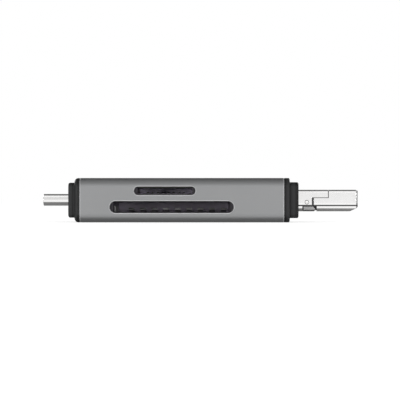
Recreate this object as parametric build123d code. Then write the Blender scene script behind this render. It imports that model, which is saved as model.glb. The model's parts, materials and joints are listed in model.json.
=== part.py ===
from build123d import *
import os
from dataclasses import dataclass
from math import hypot

# Pocket memory card reader with a plug at each end, in millimetres.
# X runs along the reader, from the oval plug (-X) to the flat plug (+X). The card slots face -Y.
# +Z is up. The origin is on the underside, in the middle of the length and of the depth.

# Lengths along X, from the oval plug's tip to the flat plug's tip
USB_C_REACH = 6.0
USB_C_COLLAR_LENGTH = 1.3
USB_C_SHOULDER_LENGTH = 1.1
SLEEVE_LENGTH = 42.3
USB_A_SHOULDER_LENGTH = 1.15
USB_A_COLLAR_LENGTH = 1.85
USB_A_REACH = 12.9
LEFT_END_LENGTH = USB_C_REACH + USB_C_COLLAR_LENGTH + USB_C_SHOULDER_LENGTH
RIGHT_END_LENGTH = USB_A_SHOULDER_LENGTH + USB_A_COLLAR_LENGTH + USB_A_REACH
USB_C_TIP_X = -(LEFT_END_LENGTH + SLEEVE_LENGTH + RIGHT_END_LENGTH) / 2
USB_C_COLLAR_X = USB_C_TIP_X + USB_C_REACH
USB_C_SHOULDER_X = USB_C_COLLAR_X + USB_C_COLLAR_LENGTH
SLEEVE_LEFT_X = USB_C_SHOULDER_X + USB_C_SHOULDER_LENGTH
SLEEVE_RIGHT_X = SLEEVE_LEFT_X + SLEEVE_LENGTH
USB_A_SHOULDER_X = SLEEVE_RIGHT_X + USB_A_SHOULDER_LENGTH
USB_A_COLLAR_X = USB_A_SHOULDER_X + USB_A_COLLAR_LENGTH
USB_A_TIP_X = USB_A_COLLAR_X + USB_A_REACH

# Aluminium sleeve, an extruded tube
SLEEVE_DEPTH = 26.0
SLEEVE_HEIGHT = 9.2
SLEEVE_EDGE_RADIUS = 1.8
SLEEVE_WALL = 0.8
SLEEVE_RIM_BEVEL = 0.12
MID_Z = SLEEVE_HEIGHT / 2
INNER_DEPTH = SLEEVE_DEPTH - 2 * SLEEVE_WALL
INNER_EDGE_RADIUS = SLEEVE_EDGE_RADIUS - SLEEVE_WALL
FRONT_WALL_Y = -SLEEVE_DEPTH / 2 + SLEEVE_WALL

# Card slots in the front wall: their places are taken from the sleeve's left end and mid-height
SD_SLOT_WIDTH = 25.5
SD_SLOT_HEIGHT = 2.34
SD_SLOT_FROM_LEFT = 6.3
SD_SLOT_DROP = 1.41
TF_SLOT_WIDTH = 12.6
TF_SLOT_HEIGHT = 1.64
TF_SLOT_FROM_LEFT = 11.31
TF_SLOT_RISE = 1.94
SD_SLOT_X = SLEEVE_LEFT_X + SD_SLOT_FROM_LEFT + SD_SLOT_WIDTH / 2
SD_SLOT_Z = MID_Z - SD_SLOT_DROP
TF_SLOT_X = SLEEVE_LEFT_X + TF_SLOT_FROM_LEFT + TF_SLOT_WIDTH / 2
TF_SLOT_Z = MID_Z + TF_SLOT_RISE

# Cards that the sockets take, with their room at the sides and faces
SD_CARD_WIDTH = 24.0
SD_CARD_THICKNESS = 2.1
TF_CARD_WIDTH = 11.0
TF_CARD_THICKNESS = 1.0
CARD_SIDE_CLEARANCE = 0.15
CARD_FACE_CLEARANCE = 0.08

# Card sockets: moulded channel, contact block behind it, folded cover, row of springs
SOCKET_FRONT_CLEARANCE = 0.3
SOCKET_RAIL = 0.8
SOCKET_BACK_WALL = 0.8
SOCKET_BLOCK_LIP = 0.8
SOCKET_JOINT_CLEARANCE = 0.03
SOCKET_SHEET = 0.2
SOCKET_TAB_LENGTH = 5.0
SOCKET_TAB_WIDTH = 1.6
SOCKET_TAB_SLIT = 0.4
SD_SOCKET_BACK_ROOM = 1.6
SD_SOCKET_DEPTH = INNER_DEPTH - SOCKET_FRONT_CLEARANCE - SD_SOCKET_BACK_ROOM
TF_SOCKET_DEPTH = 14.6
SOCKET_FLOOR_CLEARANCE = 0.1
SPRING_SHEET = 0.15
SPRING_CLEARANCE = 0.15
SD_SPRING_BUMP = 0.9
TF_SPRING_BUMP = 0.35
SPRING_TIP_LENGTH = 0.9
SPRING_TIP_DROP = 0.2
SPRING_RAMP_LENGTH = 1.8
SD_SPRING_REACH = 9.0
TF_SPRING_REACH = 6.0
SD_CONTACT_COUNT = 9
SD_CONTACT_PITCH = 2.5
SD_CONTACT_WIDTH = 1.2
SD_CONTACT_SHIFT = 1.0
DETECT_SPRING_LENGTH = 6.0
DETECT_SPRING_HEIGHT = 1.1
DETECT_SPRING_BULGE = 0.5
DETECT_SPRING_FROM_FRONT = 6.0
TF_CONTACT_COUNT = 8
TF_CONTACT_PITCH = 1.1
TF_CONTACT_WIDTH = 0.5

# End caps
CAP_SPIGOT_LENGTH = 2.5
CAP_SPIGOT_CLEARANCE = 0.1
CAP_HOLE_CLEARANCE = 0.05
CAP_SEAM_WIDTH = 0.2
CAP_SEAM_DEPTH = 0.15
USB_C_COLLAR_INSET = 0.97
USB_C_SHOULDER_ROUND = 0.8
USB_C_COLLAR_ROUND = 0.4
USB_A_COLLAR_INSET = 0.87
USB_A_SHOULDER_BEVEL = 0.15
USB_A_COLLAR_BEVEL = 0.2

# Board between the two sockets: it lies on the large socket's cover and in grooves of the caps
BOARD_THICKNESS = 0.8
BOARD_SIDE_CLEARANCE = 0.5
BOARD_GROOVE_DEPTH = 1.2
BOARD_GROOVE_CLEARANCE = 0.05
BOARD_NOTCH_CLEARANCE = 0.3
BOARD_CORNER_RADIUS = 0.6
SD_PASSAGE_WIDTH = SD_CARD_WIDTH + 2 * CARD_SIDE_CLEARANCE
SD_PASSAGE_HEIGHT = SD_CARD_THICKNESS + 2 * CARD_FACE_CLEARANCE
TF_PASSAGE_WIDTH = TF_CARD_WIDTH + 2 * CARD_SIDE_CLEARANCE
TF_PASSAGE_HEIGHT = TF_CARD_THICKNESS + 2 * CARD_FACE_CLEARANCE
BOARD_BOTTOM_Z = SD_SLOT_Z + SD_PASSAGE_HEIGHT / 2 + SOCKET_SHEET
BOARD_TOP_Z = BOARD_BOTTOM_Z + BOARD_THICKNESS
USB_C_REAR_X = SLEEVE_LEFT_X + CAP_SPIGOT_LENGTH
USB_A_REAR_X = SLEEVE_RIGHT_X - CAP_SPIGOT_LENGTH
BOARD_LEFT_X = USB_C_REAR_X - BOARD_GROOVE_DEPTH + BOARD_GROOVE_CLEARANCE
BOARD_RIGHT_X = USB_A_REAR_X + BOARD_GROOVE_DEPTH - BOARD_GROOVE_CLEARANCE
BOARD_HALF_DEPTH = INNER_DEPTH / 2 - BOARD_SIDE_CLEARANCE

# Oval plug
USB_C_RISE = 0.07
USB_C_WIDTH = 8.25
USB_C_HEIGHT = 2.5
USB_C_SHEET = 0.28
USB_C_LIP_ROUND = 0.13
USB_C_INSULATOR_CLEARANCE = 0.02
USB_C_INSULATOR_SETBACK = 0.25
USB_C_MOUTH_WIDTH = 6.9
USB_C_MOUTH_HEIGHT = 0.9
USB_C_MOUTH_DEPTH = 5.4
USB_C_CONTACT_COUNT = 12
USB_C_CONTACT_PITCH = 0.5
USB_C_CONTACT_WIDTH = 0.25
USB_C_CONTACT_SHEET = 0.1
USB_C_CONTACT_SETBACK = 1.2
USB_C_TAIL_LENGTH = 0.9
USB_C_CONTACT_CLEARANCE = 0.05
USB_C_LATCH_SHEET = 0.2
USB_C_LATCH_ARM = 0.25
USB_C_LATCH_HOOK = 0.3
USB_C_LATCH_SETBACK = 1.0
USB_C_MID_Z = MID_Z + USB_C_RISE

# Flat plug: fixed base shell and flip-down head
USB_A_DROP = 0.08
USB_A_WIDTH = 12.0
USB_A_HEIGHT = 4.56
USB_A_SHEET = 0.25
USB_A_TOP_RADIUS = 0.64
USB_A_BOTTOM_RADIUS = 1.1
CREASE_DROP = 1.17
CREASE_WIDTH = 0.26
CREASE_DEPTH = 0.1
LOBE_REACH = 6.63
BASE_REACH = 3.2
HEAD_GAP = 0.42
STEP_GAP = 0.12
STEP_RISE = 0.66
HEAD_LEAD_LENGTH = 1.64
HEAD_LEAD_RISE = 0.78
HEAD_LIP_BEVEL = 0.2
HEAD_LIP_LENGTH = 0.36
HEAD_WINDOW_LENGTH = 2.0
HEAD_WINDOW_WIDTH = 2.4
HEAD_WINDOW_SPACING = 5.6
HEAD_WINDOW_FROM_TIP = 4.6

# Hinge of the head: rivets in the base's walls, ears of the head just inside those walls
PIVOT_DROP = 0.34
OPEN_CLEARANCE = 0.21
STOP_CLEARANCE = 0.15
HEEL_GAP = 0.1
EAR_RADIUS = 0.8
EAR_SIDE_CLEARANCE = 0.15
EAR_SWING_CLEARANCE = 0.15
GUIDE_SETBACK = 0.3
GUIDE_REACH = 0.33
GUIDE_RAKE = 0.77
GUIDE_BEND_RADIUS = 0.45
GUIDE_TOP_CLEARANCE = 0.08
PIN_HEAD_RADIUS = 0.47
PIN_RADIUS = 0.33
PIN_RUNNING_CLEARANCE = 0.04
PIN_RIM_WIDTH = 0.11
PIN_RIM_DEPTH = 0.08
USB_A_MID_Z = MID_Z - USB_A_DROP
USB_A_TOP_Z = USB_A_MID_Z + USB_A_HEIGHT / 2
USB_A_BOTTOM_Z = USB_A_MID_Z - USB_A_HEIGHT / 2
PIVOT_Z = USB_A_MID_Z - PIVOT_DROP
PIVOT_TO_BOTTOM = PIVOT_Z - USB_A_BOTTOM_Z
PIVOT_X = USB_A_COLLAR_X + PIVOT_TO_BOTTOM + OPEN_CLEARANCE
CREASE_Z = USB_A_MID_Z - CREASE_DROP
STEP_Z = USB_A_MID_Z + STEP_RISE
LOBE_FRONT_X = USB_A_COLLAR_X + LOBE_REACH
BASE_FRONT_X = USB_A_COLLAR_X + BASE_REACH
HEAD_UPPER_REAR_X = LOBE_FRONT_X + STEP_GAP
HEAD_REAR_X = BASE_FRONT_X + HEAD_GAP
HEAD_HEEL_X = PIVOT_X + PIVOT_TO_BOTTOM + STOP_CLEARANCE
HEEL_RADIUS = hypot(HEAD_HEEL_X - PIVOT_X, PIVOT_TO_BOTTOM)
NOSE_RADIUS = HEEL_RADIUS - USB_A_SHEET - HEEL_GAP
NOTCH_X = PIVOT_X - EAR_RADIUS - EAR_SWING_CLEARANCE
EAR_OUTER_Y = USB_A_WIDTH / 2 - USB_A_SHEET - EAR_SIDE_CLEARANCE
EAR_INNER_Y = EAR_OUTER_Y - USB_A_SHEET
EAR_ROOM_Y = EAR_INNER_Y - EAR_SIDE_CLEARANCE
GUIDE_INNER_Y = EAR_ROOM_Y - USB_A_SHEET
GUIDE_TOP_Z = CREASE_Z - GUIDE_TOP_CLEARANCE

# Small plug that the open head uncovers, wide face up
MICRO_WIDTH = 6.85
MICRO_HEIGHT = 1.8
MICRO_NARROW_WIDTH = 5.3
MICRO_SIDE_HEIGHT = 0.8
MICRO_SHEET = 0.22
MICRO_REACH = 5.2
MICRO_TOP_CLEARANCE = 0.05
MICRO_MOUTH_WIDTH = 4.9
MICRO_MOUTH_HEIGHT = 0.7
MICRO_MOUTH_DEPTH = 4.2
MICRO_INSULATOR_SETBACK = 0.3
MICRO_CONTACT_COUNT = 5
MICRO_CONTACT_PITCH = 0.65
MICRO_CONTACT_WIDTH = 0.35
MICRO_CONTACT_SHEET = 0.12
MICRO_LATCH_SPACING = 4.2
MICRO_LATCH_WIDTH = 0.6
MICRO_LATCH_RISE = 0.22
MICRO_LATCH_LENGTH = 0.8
MICRO_LATCH_FROM_TIP = 2.6
MICRO_FIT_CLEARANCE = 0.03
MICRO_TOP_Z = USB_A_TOP_Z - USB_A_SHEET - MICRO_TOP_CLEARANCE
MICRO_BOTTOM_Z = MICRO_TOP_Z - MICRO_HEIGHT
MICRO_MID_Z = (MICRO_TOP_Z + MICRO_BOTTOM_Z) / 2
MICRO_TIP_X = LOBE_FRONT_X + MICRO_REACH

# Tray in the head: a thin tongue plate below the small plug, cheeks beside it, a bridge at the tip
TRAY_PLATE = 0.2
TRAY_TOP_CLEARANCE = 0.1
TRAY_FIT_CLEARANCE = 0.04
TRAY_TIP_SETBACK = 0.2
MICRO_SIDE_ROOM = 0.32
MICRO_TIP_ROOM = 0.27
TRAY_TOP_Z = MICRO_BOTTOM_Z - TRAY_TOP_CLEARANCE
TRAY_BOTTOM_Z = TRAY_TOP_Z - TRAY_PLATE
TRAY_FRONT_X = USB_A_TIP_X - TRAY_TIP_SETBACK
GROOVE_HALF_WIDTH = MICRO_WIDTH / 2 + MICRO_SIDE_ROOM
GROOVE_FRONT_X = MICRO_TIP_X + MICRO_TIP_ROOM

# Head contacts and the springs in the base that meet them
HEAD_CONTACT_COUNT = 4
HEAD_CONTACT_PITCH = 2.3
HEAD_CONTACT_WIDTH = 1.0
HEAD_CONTACT_SHEET = 0.1
HEAD_CONTACT_SETBACK = 1.0
TRAY_REAR_X = PIVOT_X + HEEL_RADIUS + HEAD_CONTACT_SHEET
TERMINAL_GAP = 0.12
TERMINAL_DROP = 0.9
TERMINAL_SHEET = 0.12
CARRIER_CLEARANCE = 0.05
CARRIER_FRONT_SETBACK = 0.2
CARRIER_NOSE_RISE = 0.3

# Parts on the board
CHIP_SIZE = 6.0
CHIP_THICKNESS = 0.85
CHIP_FROM_TF_SOCKET = 1.5
CHIP_FROM_EDGE = 9.7
CHIP_EDGE_BEVEL = 0.12
CRYSTAL_LENGTH = 3.2
CRYSTAL_WIDTH = 2.5
CRYSTAL_THICKNESS = 0.7
CRYSTAL_CORNER = 0.5
CRYSTAL_FROM_EDGE = 5.7
REGULATOR_LENGTH = 2.9
REGULATOR_WIDTH = 1.6
REGULATOR_THICKNESS = 1.0
REGULATOR_FROM_CHIP = 6.0
CAPACITOR_LENGTH = 1.6
CAPACITOR_WIDTH = 0.8
CAPACITOR_COUNT = 6
CAPACITOR_PITCH = 1.9
CAPACITOR_FROM_EDGE = 3.2
CAPACITOR_FROM_CHIP = 2.0
TF_SOCKET_RIGHT_X = TF_SLOT_X + TF_PASSAGE_WIDTH / 2 + SOCKET_RAIL + SOCKET_SHEET
CHIP_X = TF_SOCKET_RIGHT_X + CHIP_FROM_TF_SOCKET + CHIP_SIZE / 2
CHIP_Y = -BOARD_HALF_DEPTH + CHIP_FROM_EDGE
CRYSTAL_Y = BOARD_HALF_DEPTH - CRYSTAL_FROM_EDGE
CAPACITOR_X = CHIP_X + CAPACITOR_FROM_CHIP
CAPACITOR_Y = -BOARD_HALF_DEPTH + CAPACITOR_FROM_EDGE

OVERRUN = 1.0


def section(profile, x_from, x_to):
    """Carry a profile drawn in Y and Z along X, between two places in either order."""
    start = min(x_from, x_to)
    return extrude(Plane.YZ.offset(start) * profile, amount=abs(x_to - x_from))


def side_prism(points, width, y=0.0):
    """Carry an outline of (x, z) points across Y, with its middle at y."""
    face = Plane.XZ * make_face(Polyline(*points, close=True))
    return Pos(0, y, 0) * extrude(face, amount=width / 2, both=True)


def end_prism(points, width, x):
    """Carry an outline of (y, z) points across X, with its middle at x."""
    face = Plane.YZ * make_face(Polyline(*points, close=True))
    return Pos(x, 0, 0) * extrude(face, amount=width / 2, both=True)


def thicken(points, sheet):
    """Turn a line of points into the outline of a bent strip, thickened upwards."""
    return list(points) + [(along, height + sheet) for along, height in reversed(points)]


def block(x_from, x_to, y_from, y_to, z_from, z_to):
    """A box between two corners."""
    size = (x_to - x_from, y_to - y_from, z_to - z_from)
    middle = ((x_from + x_to) / 2, (y_from + y_to) / 2, (z_from + z_to) / 2)
    return Pos(*middle) * Box(*size)


def wide_block(x_from, x_to, half_width, z_from, z_to):
    """A box that is centred on the reader's middle plane."""
    return block(x_from, x_to, -half_width, half_width, z_from, z_to)


def mirrored_pair(solid):
    """A solid and its mirror image across the reader's middle plane."""
    return [solid, mirror(solid, about=Plane.XZ)]


def row_of(count, pitch):
    """Offsets of evenly spaced copies about their middle."""
    return [(index - (count - 1) / 2) * pitch for index in range(count)]


def rounded_section(depth, height, radius):
    """A rounded rectangle at mid-height."""
    return Pos(0, MID_Z) * RectangleRounded(depth, height, radius)


def sleeve_profile(inset):
    """The sleeve's outer outline, drawn in by an inset."""
    radius = SLEEVE_EDGE_RADIUS - inset
    return rounded_section(SLEEVE_DEPTH - 2 * inset, SLEEVE_HEIGHT - 2 * inset, radius)


def slot_cutter(x, z, width, height):
    """A round-ended cutter through the front wall, with a bevelled mouth."""
    wall_y = -SLEEVE_DEPTH / 2
    mouth = Plane((x, wall_y - OVERRUN, z), x_dir=(1, 0, 0), z_dir=(0, 1, 0))
    through = extrude(mouth * SlotOverall(width, height), amount=SLEEVE_WALL + 2 * OVERRUN)
    face = Plane((x, wall_y, z), x_dir=(1, 0, 0), z_dir=(0, 1, 0))
    wide = SlotOverall(width + 2 * SLEEVE_RIM_BEVEL, height + 2 * SLEEVE_RIM_BEVEL)
    bevel = extrude(face * wide, amount=SLEEVE_RIM_BEVEL, taper=45)
    return through + bevel


def make_sleeve():
    """Extruded tube with bevelled ends and the two card slots."""
    outside = section(sleeve_profile(0), SLEEVE_LEFT_X, SLEEVE_RIGHT_X)
    ends = outside.faces().sort_by(Axis.X)
    outside = chamfer(ends[0].edges() + ends[-1].edges(), SLEEVE_RIM_BEVEL)
    inside = section(sleeve_profile(SLEEVE_WALL), SLEEVE_LEFT_X - OVERRUN, SLEEVE_RIGHT_X + OVERRUN)
    sd_slot = slot_cutter(SD_SLOT_X, SD_SLOT_Z, SD_SLOT_WIDTH, SD_SLOT_HEIGHT)
    tf_slot = slot_cutter(TF_SLOT_X, TF_SLOT_Z, TF_SLOT_WIDTH, TF_SLOT_HEIGHT)
    return outside - inside - sd_slot - tf_slot


def make_end_cap(sleeve_x, shoulder_x, collar_x, inset, ease, shoulder_edge, collar_edge, hole):
    """Moulded cap: spigot in the sleeve, fine seam, full-size shoulder, smaller collar, plug hole.

    The outer edges of shoulder and collar are eased, rounded or bevelled, by their edge sizes.
    """
    outward = 1 if collar_x > sleeve_x else -1
    outer_face = -1 if outward > 0 else 0
    spigot_x = sleeve_x - outward * CAP_SPIGOT_LENGTH
    seam_x = sleeve_x + outward * CAP_SEAM_WIDTH
    spigot = section(sleeve_profile(SLEEVE_WALL + CAP_SPIGOT_CLEARANCE), spigot_x, sleeve_x)
    seam = section(sleeve_profile(CAP_SEAM_DEPTH), sleeve_x, seam_x)
    shoulder = section(sleeve_profile(0), seam_x, shoulder_x)
    shoulder = ease(shoulder.faces().sort_by(Axis.X)[outer_face].edges(), shoulder_edge)
    collar = section(sleeve_profile(inset), shoulder_x, collar_x)
    collar = ease(collar.faces().sort_by(Axis.X)[outer_face].edges(), collar_edge)
    plug_hole = section(hole, spigot_x - outward * OVERRUN, collar_x + outward * OVERRUN)
    groove_x = spigot_x + outward * BOARD_GROOVE_DEPTH
    groove = wide_block(
        min(groove_x, spigot_x - outward * OVERRUN),
        max(groove_x, spigot_x - outward * OVERRUN),
        BOARD_HALF_DEPTH + BOARD_GROOVE_CLEARANCE,
        BOARD_BOTTOM_Z - BOARD_GROOVE_CLEARANCE,
        BOARD_TOP_Z + BOARD_GROOVE_CLEARANCE,
    )
    return spigot + seam + shoulder + collar - plug_hole - groove


def oval_profile(inset):
    """The oval plug's outline, drawn in by an inset."""
    return Pos(0, USB_C_MID_Z) * SlotOverall(USB_C_WIDTH - 2 * inset, USB_C_HEIGHT - 2 * inset)


def flat_plug_profile(inset):
    """The flat plug's outline, drawn in by an inset: tight upper edges, well-rounded lower edges."""
    outline = Pos(0, USB_A_MID_Z) * Rectangle(USB_A_WIDTH - 2 * inset, USB_A_HEIGHT - 2 * inset)
    outline = fillet(outline.vertices().sort_by(Axis.Y)[:2], USB_A_BOTTOM_RADIUS - inset)
    return fillet(outline.vertices().sort_by(Axis.Y)[-2:], USB_A_TOP_RADIUS - inset)


def micro_profile(inset):
    """The small plug's outline, wide at the top and tapered below, drawn in by an inset."""
    half = MICRO_WIDTH / 2
    narrow = MICRO_NARROW_WIDTH / 2
    side_z = MICRO_TOP_Z - MICRO_SIDE_HEIGHT
    right = [(narrow, MICRO_BOTTOM_Z), (half, side_z), (half, MICRO_TOP_Z)]
    left = [(-y, z) for y, z in reversed(right)]
    outline = make_face(Polyline(*right, *left, close=True))
    if inset == 0:
        return outline
    return offset(outline, amount=-inset, kind=Kind.INTERSECTION)


@dataclass
class CardSocket:
    """Sizes and places of one card socket. The card slides in over the floor, under the roof."""
    centre_x: float
    passage_width: float
    base_z: float
    floor_z: float
    roof_z: float
    depth: float
    board_z: float
    contact_count: int
    contact_pitch: float
    contact_width: float
    contact_shift: float
    spring_reach: float
    spring_bump: float
    foot_round: float

    @property
    def front_y(self):
        return FRONT_WALL_Y + SOCKET_FRONT_CLEARANCE

    @property
    def back_y(self):
        return self.front_y + self.depth

    @property
    def block_y(self):
        return self.back_y - self.spring_reach - SPRING_CLEARANCE - SOCKET_BLOCK_LIP

    @property
    def rail_x(self):
        return self.passage_width / 2 + SOCKET_RAIL

    @property
    def spring_z(self):
        return self.floor_z - SPRING_CLEARANCE - SPRING_SHEET

    @property
    def contact_xs(self):
        row_x = self.centre_x + self.contact_shift
        return [row_x + place for place in row_of(self.contact_count, self.contact_pitch)]


SD_SOCKET = CardSocket(
    centre_x=SD_SLOT_X,
    passage_width=SD_PASSAGE_WIDTH,
    base_z=SLEEVE_WALL + SOCKET_FLOOR_CLEARANCE,
    floor_z=SD_SLOT_Z - SD_PASSAGE_HEIGHT / 2,
    roof_z=SD_SLOT_Z + SD_PASSAGE_HEIGHT / 2,
    depth=SD_SOCKET_DEPTH,
    board_z=BOARD_BOTTOM_Z,
    contact_count=SD_CONTACT_COUNT,
    contact_pitch=SD_CONTACT_PITCH,
    contact_width=SD_CONTACT_WIDTH,
    contact_shift=SD_CONTACT_SHIFT,
    spring_reach=SD_SPRING_REACH,
    spring_bump=SD_SPRING_BUMP,
    foot_round=INNER_EDGE_RADIUS,
)
TF_SOCKET = CardSocket(
    centre_x=TF_SLOT_X,
    passage_width=TF_PASSAGE_WIDTH,
    base_z=BOARD_TOP_Z,
    floor_z=TF_SLOT_Z - TF_PASSAGE_HEIGHT / 2,
    roof_z=TF_SLOT_Z + TF_PASSAGE_HEIGHT / 2,
    depth=TF_SOCKET_DEPTH,
    board_z=BOARD_TOP_Z,
    contact_count=TF_CONTACT_COUNT,
    contact_pitch=TF_CONTACT_PITCH,
    contact_width=TF_CONTACT_WIDTH,
    contact_shift=0,
    spring_reach=TF_SPRING_REACH,
    spring_bump=TF_SPRING_BUMP,
    foot_round=0,
)


def make_socket_base(socket):
    """Moulded channel: front floor and two long rails, open between them for the contact block."""
    left = socket.centre_x - socket.rail_x
    right = socket.centre_x + socket.rail_x
    inner_left = socket.centre_x - socket.passage_width / 2
    inner_right = socket.centre_x + socket.passage_width / 2
    near = socket.front_y - OVERRUN
    far = socket.back_y + OVERRUN
    high_z = socket.roof_z + OVERRUN
    channel = block(left, right, socket.front_y, socket.back_y, socket.base_z, socket.roof_z)
    if socket.foot_round > 0:
        feet = channel.faces().sort_by(Axis.Z)[0].edges().filter_by(Axis.X)
        channel = fillet(feet, socket.foot_round)
    passage = block(inner_left, inner_right, near, far, socket.floor_z, high_z)
    block_room = block(inner_left, inner_right, socket.block_y, far, socket.base_z - OVERRUN, high_z)
    return channel - passage - block_room


def make_contact_block(socket):
    """Moulded comb between the rails: rear floor, back wall, and a groove under each spring."""
    half = socket.passage_width / 2 - SOCKET_JOINT_CLEARANCE
    left = socket.centre_x - half
    right = socket.centre_x + half
    front = socket.block_y + SOCKET_JOINT_CLEARANCE
    wall_y = socket.back_y - SOCKET_BACK_WALL
    high_z = socket.roof_z + OVERRUN
    comb = block(left, right, front, socket.back_y, socket.base_z, socket.roof_z)
    comb = comb - block(left, right, front, wall_y, socket.floor_z, high_z)
    groove_half = socket.contact_width / 2 + SPRING_CLEARANCE
    grooves = [
        block(
            x - groove_half,
            x + groove_half,
            socket.back_y - socket.spring_reach - SPRING_CLEARANCE,
            socket.back_y + OVERRUN,
            socket.spring_z - SPRING_CLEARANCE,
            socket.floor_z,
        )
        for x in socket.contact_xs
    ]
    return comb - grooves


def make_socket_cover(socket):
    """Folded sheet over the channel, with side flanges and two long spring tabs cut free."""
    half = socket.rail_x + SOCKET_SHEET
    flange_z = (socket.floor_z + socket.roof_z) / 2
    top = socket.roof_z + SOCKET_SHEET
    left = socket.centre_x - half
    right = socket.centre_x + half
    sheet = block(left, right, socket.front_y, socket.back_y, flange_z, top)
    under = block(
        socket.centre_x - socket.rail_x,
        socket.centre_x + socket.rail_x,
        socket.front_y - OVERRUN,
        socket.back_y + OVERRUN,
        flange_z - OVERRUN,
        socket.roof_z,
    )
    cover = sheet - under
    low_z = socket.roof_z - OVERRUN
    high_z = top + OVERRUN
    tab_front_y = socket.front_y + SOCKET_TAB_LENGTH / 2
    tab_back_y = tab_front_y + SOCKET_TAB_LENGTH
    for x in (socket.centre_x - socket.passage_width / 4, socket.centre_x + socket.passage_width / 4):
        reach = SOCKET_TAB_WIDTH / 2 + SOCKET_TAB_SLIT
        window = block(x - reach, x + reach, tab_front_y, tab_back_y, low_z, high_z)
        tab_half = SOCKET_TAB_WIDTH / 2
        tab_tip_y = tab_front_y + SOCKET_TAB_SLIT
        tab = block(x - tab_half, x + tab_half, tab_tip_y, tab_back_y, low_z, high_z)
        cover = cover - (window - tab)
    return cover


def make_socket_contacts(socket):
    """A row of bent springs: tail on the board, arm along the floor, bump that touches the card."""
    tip_y = socket.back_y - socket.spring_reach
    bump_y = tip_y + SPRING_TIP_LENGTH
    bump_z = socket.floor_z + socket.spring_bump - SPRING_SHEET
    tail_y = socket.back_y + SPRING_CLEARANCE
    line = [
        (tip_y, bump_z - SPRING_TIP_DROP),
        (bump_y, bump_z),
        (bump_y + SPRING_RAMP_LENGTH, socket.spring_z),
        (tail_y + SPRING_SHEET, socket.spring_z),
    ]
    low = min(socket.spring_z, socket.board_z)
    high = max(socket.spring_z + SPRING_SHEET, socket.board_z)
    springs = []
    for x in socket.contact_xs:
        half = socket.contact_width / 2
        arm = end_prism(thicken(line, SPRING_SHEET), socket.contact_width, x)
        tail = block(x - half, x + half, tail_y, tail_y + SPRING_SHEET, low, high)
        springs.append(arm + tail)
    return springs


def make_sd_detect_spring():
    """Leaf that bows out of the large socket's left rail and feels the card's edge go by."""
    rail_x = SD_SOCKET.centre_x - SD_SOCKET.passage_width / 2
    front = SD_SOCKET.front_y + DETECT_SPRING_FROM_FRONT
    back = front + DETECT_SPRING_LENGTH
    crown = (rail_x + DETECT_SPRING_BULGE, (front + back) / 2)
    outer_crown = (crown[0] + SPRING_SHEET, crown[1])
    foot = rail_x + SPRING_SHEET
    inner = ThreePointArc((rail_x, front), crown, (rail_x, back))
    outer = ThreePointArc((foot, back), outer_crown, (foot, front))
    ends = [Line((rail_x, back), (foot, back)), Line((foot, front), (rail_x, front))]
    leaf = extrude(make_face([inner, ends[0], outer, ends[1]]), amount=DETECT_SPRING_HEIGHT)
    return Pos(0, 0, SD_SOCKET.floor_z + SPRING_CLEARANCE) * leaf


def make_main_board():
    """Board with rounded corners, notched at each end round the plugs."""
    length = BOARD_RIGHT_X - BOARD_LEFT_X
    middle = (BOARD_RIGHT_X + BOARD_LEFT_X) / 2
    outline = RectangleRounded(length, 2 * BOARD_HALF_DEPTH, BOARD_CORNER_RADIUS)
    board = Pos(middle, 0, BOARD_BOTTOM_Z) * extrude(outline, amount=BOARD_THICKNESS)
    left_notch = wide_block(
        BOARD_LEFT_X - OVERRUN,
        USB_C_REAR_X + BOARD_NOTCH_CLEARANCE,
        USB_C_WIDTH / 2 + BOARD_NOTCH_CLEARANCE,
        BOARD_BOTTOM_Z - OVERRUN,
        BOARD_TOP_Z + OVERRUN,
    )
    right_notch = wide_block(
        USB_A_REAR_X - BOARD_NOTCH_CLEARANCE,
        BOARD_RIGHT_X + OVERRUN,
        USB_A_WIDTH / 2 + BOARD_NOTCH_CLEARANCE,
        BOARD_BOTTOM_Z - OVERRUN,
        BOARD_TOP_Z + OVERRUN,
    )
    return board - left_notch - right_notch


def make_usb_c_shell():
    """Drawn oval tube with a rounded lip at the tip."""
    tube = section(oval_profile(0) - oval_profile(USB_C_SHEET), USB_C_TIP_X, USB_C_REAR_X)
    return fillet(tube.faces().sort_by(Axis.X)[0].outer_wire().edges(), USB_C_LIP_ROUND)


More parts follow.
